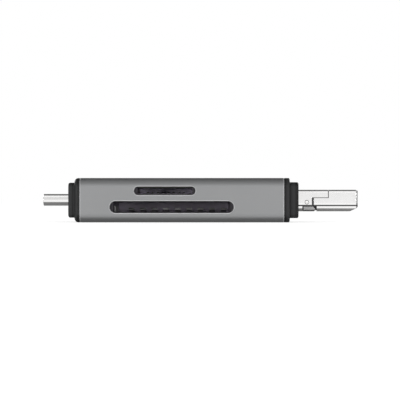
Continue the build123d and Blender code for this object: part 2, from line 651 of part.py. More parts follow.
def make_usb_c_insulator():
    """Moulded core: mouth for the mating tongue, channels for both contact rows and for the latch."""
    front = USB_C_TIP_X + USB_C_INSULATOR_SETBACK
    core = section(oval_profile(USB_C_SHEET + USB_C_INSULATOR_CLEARANCE), front, USB_C_REAR_X)
    mouth_half = USB_C_MOUTH_HEIGHT / 2
    row_half = (USB_C_CONTACT_COUNT * USB_C_CONTACT_PITCH) / 2
    channel = USB_C_CONTACT_SHEET + USB_C_CONTACT_CLEARANCE
    mouth = wide_block(
        front - OVERRUN,
        front + USB_C_MOUTH_DEPTH,
        USB_C_MOUTH_WIDTH / 2,
        USB_C_MID_Z - mouth_half,
        USB_C_MID_Z + mouth_half,
    )
    upper_room = wide_block(
        front + USB_C_CONTACT_SETBACK - USB_C_INSULATOR_SETBACK,
        USB_C_REAR_X + OVERRUN,
        row_half,
        USB_C_MID_Z + mouth_half,
        USB_C_MID_Z + mouth_half + channel,
    )
    lower_room = wide_block(
        front + USB_C_CONTACT_SETBACK - USB_C_INSULATOR_SETBACK,
        USB_C_REAR_X + OVERRUN,
        row_half,
        USB_C_MID_Z - mouth_half - channel,
        USB_C_MID_Z - mouth_half,
    )
    latch_half = USB_C_LATCH_SHEET / 2 + USB_C_CONTACT_CLEARANCE
    latch_side = USB_C_MOUTH_WIDTH / 2 + USB_C_LATCH_ARM + USB_C_CONTACT_CLEARANCE
    latch_front = USB_C_TIP_X + USB_C_LATCH_SETBACK - USB_C_CONTACT_CLEARANCE
    arm_room = block(
        latch_front,
        USB_C_REAR_X + OVERRUN,
        USB_C_MOUTH_WIDTH / 2 - USB_C_CONTACT_CLEARANCE,
        latch_side,
        USB_C_MID_Z - latch_half,
        USB_C_MID_Z + latch_half,
    )
    yoke_room = wide_block(
        USB_C_REAR_X - USB_C_LATCH_ARM - USB_C_CONTACT_CLEARANCE,
        USB_C_REAR_X + OVERRUN,
        latch_side,
        USB_C_MID_Z - latch_half,
        USB_C_MID_Z + latch_half,
    )
    return core - mouth - upper_room - lower_room - yoke_room - mirrored_pair(arm_room)


def make_usb_c_contacts():
    """Two facing rows of strips. Each leaves the mouth's wall and steps to its side of the board."""
    inner = USB_C_MOUTH_HEIGHT / 2
    tip = USB_C_TIP_X + USB_C_CONTACT_SETBACK
    step = USB_C_REAR_X + USB_C_CONTACT_CLEARANCE
    landing = step + BOARD_NOTCH_CLEARANCE
    end = landing + USB_C_TAIL_LENGTH
    upper_z = USB_C_MID_Z + inner
    lower_z = USB_C_MID_Z - inner - USB_C_CONTACT_SHEET
    upper = [(tip, upper_z), (step, upper_z), (landing, BOARD_TOP_Z), (end, BOARD_TOP_Z)]
    lower_board_z = BOARD_BOTTOM_Z - USB_C_CONTACT_SHEET
    lower = [(tip, lower_z), (step, lower_z), (landing, lower_board_z), (end, lower_board_z)]
    strips = []
    for y in row_of(USB_C_CONTACT_COUNT, USB_C_CONTACT_PITCH):
        for line in (upper, lower):
            strips.append(side_prism(thicken(line, USB_C_CONTACT_SHEET), USB_C_CONTACT_WIDTH, y))
    return strips


def make_usb_c_latch_plate():
    """Stamped fork in the middle plane: two arms beside the mouth, each with an inward hook."""
    inner = USB_C_MOUTH_WIDTH / 2
    outer = inner + USB_C_LATCH_ARM
    front = USB_C_TIP_X + USB_C_LATCH_SETBACK
    hook_back = front + 2 * USB_C_LATCH_HOOK
    yoke = USB_C_REAR_X - USB_C_LATCH_ARM
    half_fork = [
        (yoke, 0),
        (yoke, inner),
        (hook_back, inner),
        (hook_back, inner - USB_C_LATCH_HOOK),
        (front, inner),
        (front, outer),
        (USB_C_REAR_X, outer),
        (USB_C_REAR_X, 0),
    ]
    half = make_face(Polyline(*half_fork, close=True))
    half = Pos(0, 0, USB_C_MID_Z) * extrude(half, amount=USB_C_LATCH_SHEET / 2, both=True)
    return half + mirror(half, about=Plane.XZ)


def cross_cylinder(radius, y_from, y_to):
    """A cylinder across the reader on the hinge axis."""
    middle = Pos(PIVOT_X, (y_from + y_to) / 2, PIVOT_Z)
    return middle * Rot(90, 0, 0) * Cylinder(radius, y_to - y_from)


def crease_cutters(x_from, x_to):
    """Shallow scored lines along both sides, where the sheet starts to turn under."""
    inner_y = USB_A_WIDTH / 2 - CREASE_DEPTH
    return mirrored_pair(
        block(x_from, x_to, inner_y, inner_y + OVERRUN, CREASE_Z, CREASE_Z + CREASE_WIDTH)
    )


def make_guide_wall():
    """An upright guide along the inner side of one ear, folded up from the floor of the fixed shell."""
    rear_x = NOTCH_X + GUIDE_SETBACK
    front_x = BASE_FRONT_X + GUIDE_REACH
    outline = [
        (rear_x, USB_A_BOTTOM_Z),
        (front_x + GUIDE_RAKE, USB_A_BOTTOM_Z),
        (front_x, GUIDE_TOP_Z),
        (rear_x, GUIDE_TOP_Z),
    ]
    wall = side_prism(outline, USB_A_SHEET, (GUIDE_INNER_Y + EAR_ROOM_Y) / 2)
    return wall & cross_cylinder(NOSE_RADIUS, GUIDE_INNER_Y, EAR_ROOM_Y)


def guide_bend_cutter():
    """What the bend between the floor and a guide leaves off the square corner."""
    radius = GUIDE_BEND_RADIUS
    corner = Pos(EAR_ROOM_Y, USB_A_BOTTOM_Z) * Rectangle(2 * radius, 2 * radius)
    bend = Pos(EAR_ROOM_Y - radius, USB_A_BOTTOM_Z + radius) * Circle(radius)
    return section(corner - bend, NOTCH_X, LOBE_FRONT_X)


def make_usb_a_base_shell():
    """Folded tube that stays put: long upper lobe, notched sides with the rivets, floor with two guides.

    Below the crease its floor ends inside the ring that the head's heel sweeps round the hinge.
    """
    tube = section(flat_plug_profile(0), USB_A_REAR_X, LOBE_FRONT_X)
    bore = section(flat_plug_profile(USB_A_SHEET), USB_A_REAR_X - OVERRUN, LOBE_FRONT_X + OVERRUN)
    far_x = LOBE_FRONT_X + OVERRUN
    low_z = USB_A_BOTTOM_Z - OVERRUN
    below_lobe = wide_block(BASE_FRONT_X, far_x, USB_A_WIDTH, CREASE_Z, STEP_Z)
    notch = block(NOTCH_X, far_x, EAR_ROOM_Y, USB_A_WIDTH, low_z, CREASE_Z)
    past_nose = wide_block(PIVOT_X, far_x, USB_A_WIDTH, low_z, CREASE_Z)
    past_nose = past_nose - cross_cylinder(NOSE_RADIUS, -USB_A_WIDTH, USB_A_WIDTH)
    shell = tube - bore - below_lobe - mirrored_pair(notch) - past_nose
    for guide in mirrored_pair(make_guide_wall()):
        shell = shell + guide
    shell = shell - mirrored_pair(guide_bend_cutter())
    rivet_holes = cross_cylinder(PIN_HEAD_RADIUS, -USB_A_WIDTH, USB_A_WIDTH)
    return shell - rivet_holes - crease_cutters(USB_A_COLLAR_X, LOBE_FRONT_X)


def make_hinge_pins():
    """Two rivets: a flush head with a turned-down rim in each wall, a shank through each ear."""
    wall_y = USB_A_WIDTH / 2 - USB_A_SHEET
    face_y = USB_A_WIDTH / 2
    head = cross_cylinder(PIN_HEAD_RADIUS, wall_y, face_y)
    shank = cross_cylinder(PIN_RADIUS, EAR_INNER_Y, wall_y)
    rim_y = face_y - PIN_RIM_DEPTH
    crown = cross_cylinder(PIN_HEAD_RADIUS - PIN_RIM_WIDTH, rim_y, face_y)
    rim = cross_cylinder(PIN_HEAD_RADIUS, rim_y, face_y) - crown
    return mirrored_pair(head + shank - rim)


def lead_wedge(rise):
    """Everything below the sloped lead-in under the head's tip, raised by a distance."""
    slope = HEAD_LEAD_RISE / HEAD_LEAD_LENGTH
    start = USB_A_TIP_X - HEAD_LEAD_LENGTH
    near = start - OVERRUN
    far = USB_A_TIP_X + 2 * OVERRUN
    low_z = USB_A_BOTTOM_Z - OVERRUN
    near_z = USB_A_BOTTOM_Z + rise - slope * OVERRUN
    far_z = USB_A_BOTTOM_Z + rise + slope * (far - start)
    return side_prism([(near, near_z), (far, far_z), (far, low_z), (near, low_z)], 2 * USB_A_WIDTH)


def make_flip_head_shell():
    """Folded shell of the head: sloped lead-in, open groove on top, two ears jogged in to the hinge.

    Below the crease its rear edge, the heel, stands back from the hinge, so that it passes the floor.
    """
    slope = HEAD_LEAD_RISE / HEAD_LEAD_LENGTH
    top_z = USB_A_TOP_Z + OVERRUN
    low_z = USB_A_BOTTOM_Z - OVERRUN
    tube = section(flat_plug_profile(0), HEAD_REAR_X, USB_A_TIP_X) - lead_wedge(0)
    mouth = tube.faces().sort_by(Axis.X)[-1]
    tube = chamfer(mouth.edges(), HEAD_LIP_BEVEL, HEAD_LIP_LENGTH, reference=mouth)
    bore = section(flat_plug_profile(USB_A_SHEET), HEAD_REAR_X - OVERRUN, USB_A_TIP_X + OVERRUN)
    bore = bore - lead_wedge(USB_A_SHEET * hypot(1, slope))
    step = wide_block(HEAD_REAR_X - OVERRUN, HEAD_UPPER_REAR_X, USB_A_WIDTH, STEP_Z - STEP_GAP, top_z)
    heel = wide_block(PIVOT_X, HEAD_HEEL_X, USB_A_WIDTH, low_z, CREASE_Z)
    groove = wide_block(HEAD_UPPER_REAR_X - OVERRUN, GROOVE_FRONT_X, GROOVE_HALF_WIDTH, STEP_Z, top_z)
    shell = tube - bore - step - heel - groove - crease_cutters(HEAD_REAR_X, USB_A_TIP_X)
    window_front_x = USB_A_TIP_X - HEAD_WINDOW_FROM_TIP
    window_half = HEAD_WINDOW_WIDTH / 2
    for y in row_of(2, HEAD_WINDOW_SPACING):
        shell = shell - block(
            window_front_x - HEAD_WINDOW_LENGTH,
            window_front_x,
            y - window_half,
            y + window_half,
            low_z,
            CREASE_Z,
        )
    wall_y = USB_A_WIDTH / 2 - USB_A_SHEET
    ear_end_x = TRAY_REAR_X - TRAY_FIT_CLEARANCE
    ear_top_z = STEP_Z - STEP_GAP
    eye = cross_cylinder(EAR_RADIUS, EAR_INNER_Y, EAR_OUTER_Y)
    strap = block(PIVOT_X, ear_end_x, EAR_INNER_Y, EAR_OUTER_Y, CREASE_Z, ear_top_z)
    jog = block(HEAD_REAR_X, ear_end_x, EAR_OUTER_Y, wall_y, CREASE_Z, ear_top_z)
    hole_radius = PIN_RADIUS + PIN_RUNNING_CLEARANCE
    hole = cross_cylinder(hole_radius, EAR_INNER_Y - OVERRUN, EAR_OUTER_Y + OVERRUN)
    ear = eye + strap + jog - hole
    for side in mirrored_pair(ear):
        shell = shell + side
    return shell


def make_flip_head_tray():
    """Moulded tray in the head: tongue plate, cheeks beside the small plug, bridge at the tip.

    The cheeks start just in front of the fixed shell, so that they close the parting line.
    """
    half = USB_A_WIDTH / 2 - USB_A_SHEET - TRAY_FIT_CLEARANCE
    top_z = USB_A_TOP_Z - USB_A_SHEET - TRAY_FIT_CLEARANCE
    plate = wide_block(TRAY_REAR_X, TRAY_FRONT_X, half, TRAY_BOTTOM_Z, TRAY_TOP_Z)
    rear_x = LOBE_FRONT_X + TRAY_FIT_CLEARANCE
    outline = flat_plug_profile(USB_A_SHEET + TRAY_FIT_CLEARANCE)
    cheeks = section(outline, rear_x, TRAY_FRONT_X)
    cheeks = cheeks & wide_block(rear_x, TRAY_FRONT_X, half, TRAY_TOP_Z, top_z)
    groove = wide_block(rear_x - OVERRUN, GROOVE_FRONT_X, GROOVE_HALF_WIDTH, TRAY_TOP_Z, top_z + OVERRUN)
    return plate + (cheeks - groove)


def make_flip_head_contacts():
    """Flat strips under the tongue plate, each turned up behind the plate's rear edge."""
    pad_x = TRAY_REAR_X - HEAD_CONTACT_SHEET
    low_z = TRAY_BOTTOM_Z - HEAD_CONTACT_SHEET
    tip_x = TRAY_FRONT_X - HEAD_CONTACT_SETBACK
    outline = [
        (pad_x, low_z),
        (tip_x - HEAD_CONTACT_SHEET, low_z),
        (tip_x, TRAY_BOTTOM_Z),
        (TRAY_REAR_X, TRAY_BOTTOM_Z),
        (TRAY_REAR_X, TRAY_TOP_Z),
        (pad_x, TRAY_TOP_Z),
    ]
    places = row_of(HEAD_CONTACT_COUNT, HEAD_CONTACT_PITCH)
    return [side_prism(outline, HEAD_CONTACT_WIDTH, y) for y in places]


def make_plug_carrier():
    """Moulded block in the fixed shell: it holds the small plug and leaves the ears room to swing.

    Its nose reaches forward between the guides and under the leaf springs, inside the heel's ring.
    """
    low_z = USB_A_BOTTOM_Z - OVERRUN
    step_z = PIVOT_Z + EAR_RADIUS + EAR_SWING_CLEARANCE
    front_x = BASE_FRONT_X - CARRIER_FRONT_SETBACK
    nose_half = GUIDE_INNER_Y - CARRIER_CLEARANCE
    outline = flat_plug_profile(USB_A_SHEET + CARRIER_CLEARANCE)
    body = section(outline, USB_A_REAR_X, LOBE_FRONT_X - CARRIER_CLEARANCE)
    below_lobe = wide_block(front_x, LOBE_FRONT_X + OVERRUN, USB_A_WIDTH, low_z, step_z)
    tunnel = section(micro_profile(-MICRO_FIT_CLEARANCE), USB_A_REAR_X - OVERRUN, LOBE_FRONT_X + OVERRUN)
    ear_room = block(NOTCH_X, LOBE_FRONT_X, EAR_ROOM_Y, USB_A_WIDTH, low_z, step_z)
    guide_room = block(NOTCH_X, LOBE_FRONT_X, nose_half, USB_A_WIDTH, low_z, CREASE_Z)
    nose_z = USB_A_BOTTOM_Z + CARRIER_NOSE_RISE
    nose = wide_block(front_x, PIVOT_X + NOSE_RADIUS, nose_half, nose_z, CREASE_Z)
    nose = nose & cross_cylinder(NOSE_RADIUS - CARRIER_CLEARANCE, -USB_A_WIDTH, USB_A_WIDTH)
    return body - below_lobe - tunnel - mirrored_pair(ear_room) - mirrored_pair(guide_room) + nose


def make_terminal_springs():
    """Leaf springs in front of the carrier, their tips just behind the head's contact pads."""
    root_x = BASE_FRONT_X - CARRIER_FRONT_SETBACK
    tip_x = TRAY_REAR_X - HEAD_CONTACT_SHEET - TERMINAL_GAP
    tip_z = TRAY_BOTTOM_Z
    root_z = tip_z - TERMINAL_DROP
    bend_x = (root_x + tip_x) / 2
    line = [(root_x, root_z), (bend_x, root_z), (tip_x, tip_z)]
    places = row_of(HEAD_CONTACT_COUNT, HEAD_CONTACT_PITCH)
    return [side_prism(thicken(line, TERMINAL_SHEET), HEAD_CONTACT_WIDTH, y) for y in places]


def micro_latch_ys():
    """Places of the small plug's two latches across the reader."""
    return row_of(2, MICRO_LATCH_SPACING)


def make_micro_usb_shell():
    """Folded tapered tube with a window over each latch hook."""
    wall = micro_profile(0) - micro_profile(MICRO_SHEET)
    tube = section(wall, USB_A_REAR_X, MICRO_TIP_X)
    hook_x = MICRO_TIP_X - MICRO_LATCH_FROM_TIP
    reach = MICRO_LATCH_WIDTH / 2 + MICRO_FIT_CLEARANCE
    for y in micro_latch_ys():
        tube = tube - block(
            hook_x - MICRO_SHEET,
            hook_x + MICRO_LATCH_LENGTH + MICRO_SHEET,
            y - reach,
            y + reach,
            MICRO_TOP_Z - MICRO_SHEET - MICRO_FIT_CLEARANCE,
            MICRO_TOP_Z + OVERRUN,
        )
    return tube


def make_micro_usb_insulator():
    """Moulded core of the small plug, with its mouth and a channel above it for each latch."""
    front = MICRO_TIP_X - MICRO_INSULATOR_SETBACK
    core = section(micro_profile(MICRO_SHEET + MICRO_FIT_CLEARANCE), USB_A_REAR_X, front)
    mouth = wide_block(
        front - MICRO_MOUTH_DEPTH,
        front + OVERRUN,
        MICRO_MOUTH_WIDTH / 2,
        MICRO_MID_Z - MICRO_MOUTH_HEIGHT / 2,
        MICRO_MID_Z + MICRO_MOUTH_HEIGHT / 2,
    )
    core = core - mouth
    reach = MICRO_LATCH_WIDTH / 2 + MICRO_FIT_CLEARANCE
    channel_z = MICRO_TOP_Z - 2 * MICRO_SHEET
    for y in micro_latch_ys():
        core = core - block(
            front - MICRO_MOUTH_DEPTH, front + OVERRUN, y - reach, y + reach, channel_z, MICRO_TOP_Z
        )
    return core


def make_micro_usb_contacts():
    """A row of strips on the floor of the small plug's mouth."""
    floor_z = MICRO_MID_Z - MICRO_MOUTH_HEIGHT / 2
    front = MICRO_TIP_X - 2 * MICRO_INSULATOR_SETBACK
    back = MICRO_TIP_X - MICRO_INSULATOR_SETBACK - MICRO_MOUTH_DEPTH
    half = MICRO_CONTACT_WIDTH / 2
    return [
        block(back, front, y - half, y + half, floor_z, floor_z + MICRO_CONTACT_SHEET)
        for y in row_of(MICRO_CONTACT_COUNT, MICRO_CONTACT_PITCH)
    ]


def make_micro_usb_latches():
    """Two spring arms under the small plug's wide face, each with a ramped hook through its window."""
    low_z = MICRO_TOP_Z - 2 * MICRO_SHEET + MICRO_FIT_CLEARANCE
    arm_z = MICRO_TOP_Z - MICRO_SHEET - MICRO_FIT_CLEARANCE
    hook_z = MICRO_TOP_Z + MICRO_LATCH_RISE
    hook_x = MICRO_TIP_X - MICRO_LATCH_FROM_TIP
    ramp_x = hook_x + MICRO_LATCH_LENGTH
    back = MICRO_TIP_X - MICRO_INSULATOR_SETBACK - MICRO_MOUTH_DEPTH
    front = MICRO_TIP_X - 2 * MICRO_INSULATOR_SETBACK
    outline = [
        (back, low_z),
        (front, low_z),
        (front, arm_z),
        (ramp_x, arm_z),
        (hook_x + MICRO_SHEET, hook_z),
        (hook_x, hook_z),
        (hook_x, arm_z),
        (back, arm_z),
    ]
    return [side_prism(outline, MICRO_LATCH_WIDTH, y) for y in micro_latch_ys()]


def on_board(x, y, length, width, height):
    """A part that stands on the board's upper face."""
    half = width / 2
    return block(x - length / 2, x + length / 2, y - half, y + half, BOARD_TOP_Z, BOARD_TOP_Z + height)


def make_controller_chip():
    """Square package with a bevelled top edge."""
    chip = on_board(CHIP_X, CHIP_Y, CHIP_SIZE, CHIP_SIZE, CHIP_THICKNESS)
    return chamfer(chip.faces().sort_by(Axis.Z)[-1].edges(), CHIP_EDGE_BEVEL)


def make_crystal():
    """Flat metal can with rounded upright edges."""
    can = on_board(CHIP_X, CRYSTAL_Y, CRYSTAL_LENGTH, CRYSTAL_WIDTH, CRYSTAL_THICKNESS)
    return fillet(can.edges().filter_by(Axis.Z), CRYSTAL_CORNER)


def make_regulator():
    """Small package with drafted sides."""
    x = CHIP_X + REGULATOR_FROM_CHIP
    body = on_board(x, CHIP_Y, REGULATOR_LENGTH, REGULATOR_WIDTH, REGULATOR_THICKNESS)
    return chamfer(body.faces().sort_by(Axis.Z)[-1].edges(), CHIP_EDGE_BEVEL)


def make_capacitors():
    """A row of small ceramic blocks along the front edge of the board."""
    return [
        on_board(CAPACITOR_X + shift, CAPACITOR_Y, CAPACITOR_WIDTH, CAPACITOR_LENGTH, CAPACITOR_WIDTH)
        for shift in row_of(CAPACITOR_COUNT, CAPACITOR_PITCH)
    ]


def write_node(name, shape):
    """Write one node: a single solid, or a group of like solids."""
    if isinstance(shape, list):
        shape = Compound(shape)
    shape.label = name
    export_step(shape, os.path.join("parts", f"{name}.step"))


os.makedirs("parts", exist_ok=True)
NODES = {
    "sleeve": make_sleeve(),
    "usb_c_end_cap": make_end_cap(
        SLEEVE_LEFT_X,
        USB_C_SHOULDER_X,
        USB_C_COLLAR_X,
        USB_C_COLLAR_INSET,
        fillet,
        USB_C_SHOULDER_ROUND,
        USB_C_COLLAR_ROUND,
        oval_profile(-CAP_HOLE_CLEARANCE),
    ),
    "usb_a_end_cap": make_end_cap(
        SLEEVE_RIGHT_X,
        USB_A_SHOULDER_X,
        USB_A_COLLAR_X,
        USB_A_COLLAR_INSET,
        chamfer,
        USB_A_SHOULDER_BEVEL,
        USB_A_COLLAR_BEVEL,
        flat_plug_profile(-CAP_HOLE_CLEARANCE),
    ),
    "main_board": make_main_board(),
    "sd_socket_base": make_socket_base(SD_SOCKET),
    "sd_contact_block": make_contact_block(SD_SOCKET),
    "sd_socket_cover": make_socket_cover(SD_SOCKET),
    "sd_contacts": make_socket_contacts(SD_SOCKET),
    "sd_detect_spring": make_sd_detect_spring(),
    "tf_socket_base": make_socket_base(TF_SOCKET),
    "tf_contact_block": make_contact_block(TF_SOCKET),
    "tf_socket_cover": make_socket_cover(TF_SOCKET),
    "tf_contacts": make_socket_contacts(TF_SOCKET),
    "usb_c_shell": make_usb_c_shell(),
    "usb_c_insulator": make_usb_c_insulator(),
    "usb_c_contacts": make_usb_c_contacts(),
    "usb_c_latch_plate": make_usb_c_latch_plate(),
    "usb_a_base_shell": make_usb_a_base_shell(),
    "plug_carrier": make_plug_carrier(),
    "terminal_springs": make_terminal_springs(),
    "hinge_pins": make_hinge_pins(),
    "micro_usb_shell": make_micro_usb_shell(),
    "micro_usb_insulator": make_micro_usb_insulator(),
    "micro_usb_contacts": make_micro_usb_contacts(),
    "micro_usb_latches": make_micro_usb_latches(),
    "flip_head_shell": make_flip_head_shell(),
    "flip_head_tray": make_flip_head_tray(),
    "flip_head_contacts": make_flip_head_contacts(),
    "controller_chip": make_controller_chip(),
    "crystal": make_crystal(),
    "regulator": make_regulator(),
    "capacitors": make_capacitors(),
}
for node_name, node_shape in NODES.items():
    write_node(node_name, node_shape)
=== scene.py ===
# %% [markdown]
# A pocket memory card reader, dressed for its portrait
#
# The reader is a flat aluminium sleeve between two dark caps. An oval plug leaves one end and a flat
# plug with a flip-down head leaves the other, and two card slots open in the long edge. Every solid
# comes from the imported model, in metres, and keeps its place. This lesson gives each surface its
# finish, then sets up the light and the camera.

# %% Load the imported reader
import json
import math

import bpy
import numpy as np
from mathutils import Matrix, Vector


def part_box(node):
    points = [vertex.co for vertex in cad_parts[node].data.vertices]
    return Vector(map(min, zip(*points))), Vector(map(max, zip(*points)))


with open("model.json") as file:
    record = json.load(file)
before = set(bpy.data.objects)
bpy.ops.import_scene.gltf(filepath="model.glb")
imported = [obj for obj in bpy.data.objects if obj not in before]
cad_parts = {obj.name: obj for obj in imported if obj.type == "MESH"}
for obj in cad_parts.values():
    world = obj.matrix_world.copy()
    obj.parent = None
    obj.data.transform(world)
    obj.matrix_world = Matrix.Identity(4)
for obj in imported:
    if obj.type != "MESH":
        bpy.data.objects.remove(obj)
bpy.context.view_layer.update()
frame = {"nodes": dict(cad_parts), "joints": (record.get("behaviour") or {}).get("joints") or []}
nodes = frame["nodes"]

# %% [markdown]
# Shader maths as plain Python
#
# A finish is a small formula: a grain here, a bright rim there. Wiring Math nodes by hand hides that
# formula, so one class wraps a socket and lends it Python's operators. `rim * 0.4 + 0.3` then adds its
# own nodes. Every other node comes from one method, which takes the node's type, its settings and
# what goes into its sockets.


# %% A socket with operators
def plug(target, value):
    """Feed an input: link a wrapped socket, or write a plain number, vector or colour."""
    if isinstance(value, Wire):
        value.tree.links.new(value.socket, target)
    elif hasattr(target.default_value, "__len__") and not hasattr(value, "__len__"):
        target.default_value = [value] * len(target.default_value)
    else:
        target.default_value = value


class Wire:
    """One output socket of a node tree. Arithmetic on it adds Math nodes."""

    def __init__(self, tree, socket=None):
        self.tree = tree
        self.socket = socket

    def node(self, kind, settings=None, inputs=None, output=0):
        """Add a node, set its settings first, feed its sockets, and wrap one of its outputs."""
        made = self.tree.nodes.new(kind)
        for key, value in (settings or {}).items():
            setattr(made, key, value)
        for key, value in (inputs or {}).items():
            plug(made.inputs[key], value)
        return Wire(self.tree, made.outputs[output])

    def math(self, operation, *others, clamp=False):
        settings = {"operation": operation, "use_clamp": clamp}
        return self.node("ShaderNodeMath", settings, dict(enumerate((self, *others))))

    def __add__(self, other):
        return self.math("ADD", other)

    __radd__ = __add__

    def __sub__(self, other):
        return self.math("SUBTRACT", other)

    def __rsub__(self, other):
        return (self * -1.0) + other

    def __mul__(self, other):
        return self.math("MULTIPLY", other)

    __rmul__ = __mul__

    def __truediv__(self, other):
        return self.math("DIVIDE", other)

    def __abs__(self):
        return self.math("ABSOLUTE")

    def least(self, other):
        return self.math("MINIMUM", other)

    def most(self, other):
        return self.math("MAXIMUM", other)

    def root(self):
        return self.math("SQRT")

    def rise(self, low, high):
        """0 below low, 1 above high, and a smooth step between."""
        settings = {"interpolation_type": "SMOOTHSTEP"}
        return self.node("ShaderNodeMapRange", settings, {0: self, 1: low, 2: high})

    def fall(self, low, high):
        return 1 - self.rise(low, high)


print("socket maths ready")

# %% [markdown]
# Where a pattern sits on a piece
#
# All pieces share the reader's own frame, so Object coordinates place a pattern exactly: in
# millimetres, a slot's rim or a rivet's centre is where the drawing says. Noise comes from the same
# coordinates, stretched along one axis for drawn or brushed metal.


# %% Places and grains
MM = 1000.0


def place(tree):
    """The point on the piece in millimetres, as one vector."""
    coordinate = Wire(tree).node("ShaderNodeTexCoord", output="Object")
    return coordinate.node(
        "ShaderNodeVectorMath", {"operation": "SCALE"}, {"Vector": coordinate, "Scale": MM}
    )


def axes(point):
    """Its X, Y and Z."""
    return [point.node("ShaderNodeSeparateXYZ", None, {0: point}, output=axis) for axis in "XYZ"]


def grain(point, size, stretch=(1.0, 1.0, 1.0), detail=2.0, rough=0.5):
    """Noise from 0 to 1 whose spots are about `size` mm wide, drawn out along an axis by `stretch`."""
    scale = [1.0 / (size * s) for s in stretch]
    drawn = point.node("ShaderNodeMapping", {"vector_type": "POINT"}, {"Vector": point, "Scale": scale})
    return drawn.node(
        "ShaderNodeTexNoise",
        {"noise_dimensions": "3D"},
        {"Vector": drawn, "Scale": 1.0, "Detail": detail, "Roughness": rough},
        output="Fac",
    )


def blend(amount, first, second):
    """A colour between two colours."""
    return amount.node(
        "ShaderNodeMix", {"data_type": "RGBA"}, {"Factor": amount, 6: first, 7: second}, output=2
    )


def grey(level, warm=0.0):
    """A neutral colour, a little warmer or cooler."""
    return (level * (1 + warm), level, level * (1 - warm), 1.0)


print("patterns are placed in millimetres")

# %% [markdown]
# Soft edges and the finish itself
#
# A real edge is never a perfect corner: stamping, moulding or tumbling leaves a small radius that
# catches light. The Bevel node looks for neighbouring surfaces and bends the shading normal over that
# radius, so the solids stay as they are. Relief such as blasted grain goes on top through a Bump node.


# %% Build a material
def finish(name, recipe, edge=0.03, **constants):
    """A Principled material. The recipe returns what changes over the surface, constants the rest."""
    material = bpy.data.materials.new(name)
    material.use_nodes = True
    tree = material.node_tree
    shader = tree.nodes["Principled BSDF"]
    for socket, value in constants.items():
        shader.inputs[socket.replace("_", " ").title().replace("Ior", "IOR")].default_value = value
    point = place(tree)
    made = recipe(point)
    relief = made.pop("relief", None)
    for socket, value in made.items():
        plug(shader.inputs[socket.replace("_", " ").title()], value)
    normal = point.node("ShaderNodeBevel", {"samples": 8}, {"Radius": edge / MM})
    if relief is not None:
        height, depth = relief
        normal = normal.node(
            "ShaderNodeBump",
            None,
            {"Strength": 1.0, "Distance": depth / MM, "Height": height, "Normal": normal},
        )
    plug(shader.inputs["Normal"], normal)
    return material


def dress(material, *names):
    """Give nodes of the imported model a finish."""
    for name in names:
        slots = nodes[name].data.materials
        slots.clear()
        slots.append(material)
    print(material.name, "on", ", ".join(names))


# %% [markdown]
# The sleeve: blasted and anodised aluminium
#
# The tube is extruded, blasted with fine beads, cut, and dyed grey in the anodising bath. After blasting,
# a mill chamfers the slots and the ends, so those rims are bare and paler, and their colour also carries a
# painted highlight, brightest along the slots' straight sides. The blasted face scatters light almost like
# paint, so the metal is dressed as a rough, weakly shining surface with a grain of about 0.1 mm, and the
# rounded long edges are painted a little paler: painted light that lifts their shade. The rims are found
# by distance: a slot is a stretched circle, so the distance to its outline is the length from the nearest
# point of a line segment, less the end radius.

# %% Sleeve
SLEEVE_LOW, SLEEVE_HIGH = (np.array(corner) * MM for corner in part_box("sleeve"))
SLEEVE_MIDDLE = float(SLEEVE_LOW[2] + SLEEVE_HIGH[2]) / 2
# Centre X, centre Z, width and height of the large and the small slot
CARD_SLOTS = [(-5.85, 3.19, 25.5, 2.34), (-7.29, 6.54, 12.6, 1.64)]
RIM, RIM_SOFT = 0.17, 0.05
PAINTED_EDGE_LIGHT = (2.8, 3.7)


def past_straight(x, slot):
    """How far a point lies beyond the straight sides of a round-ended slot."""
    centre_x, centre_z, width, height = slot
    return (abs(x - centre_x) - (width - height) / 2).most(0.0)


def from_slot(x, z, slot):
    """Distance from a round-ended slot: past the segment between its end centres, less the radius."""
    centre_x, centre_z, width, height = slot
    along = past_straight(x, slot)
    across = z - centre_z
    return (along * along + across * across).root() - height / 2


def slot_rim_highlight(x, z, slot):
    """The milled rim with a painted highlight, fainter round the ends than along the straight sides."""
    # painted highlight: the rim's pale colour fades round the slot's ends
    highlight_fade = 1 - 0.6 * past_straight(x, slot).rise(0.1, 0.8)
    return from_slot(x, z, slot).fall(RIM, RIM + RIM_SOFT) * highlight_fade


def anodised(point):
    x, y, z = axes(point)
    front = y.fall(SLEEVE_LOW[1] + 0.01, SLEEVE_LOW[1] + 0.03)
    slot_rim_highlights = slot_rim_highlight(x, z, CARD_SLOTS[0]).most(slot_rim_highlight(x, z, CARD_SLOTS[1]))
    to_end = (x - float(SLEEVE_LOW[0])).least(float(SLEEVE_HIGH[0]) - x)
    # rims: bare milled metal, paler, with a painted highlight on top
    rim_and_highlight = (slot_rim_highlights * front).most(0.5 * to_end.fall(RIM, RIM + RIM_SOFT))
    beads = grain(point, 0.09, detail=3.0, rough=0.6)
    dye = grain(point, 7.0, detail=1.0)
    extrusion = grain(point, 0.5, stretch=(60.0, 1.0, 1.0), detail=1.0)
    # painted light: the rounded long edges are coloured paler to lift their shade
    painted_edge_light = abs(z - SLEEVE_MIDDLE).rise(*PAINTED_EDGE_LIGHT)
    tone = 0.9 + 0.14 * beads + 0.05 * dye + 0.02 * extrusion + 0.2 * painted_edge_light
    shade = blend(tone - 0.5, grey(0.118, -0.012), grey(0.356, -0.012))
    return {
        "base_color": blend(rim_and_highlight, shade, grey(0.76, -0.01)),
        "roughness": 0.42 + 0.1 * beads,
        "metallic": 0.85 - 0.7 * rim_and_highlight,
        "relief": (beads, 0.003),
    }


dress(finish("anodised_aluminium", anodised, edge=0.05, specular_ior_level=0.2), "sleeve")

# %% [markdown]
# The end caps: dark satin plastic
#
# Both caps are moulded from a dark grey blend in a spark-eroded tool, which leaves a very fine matt
# texture. Each step along X and the outer edge get a painted shade line, darker in colour and a little
# glossier: the distance to the nearest step gives it.

# %% Caps
CAP_STEPS = (-27.25, -26.4, -25.3, 17.7, 18.66)
DARK_EDGE = 19.75


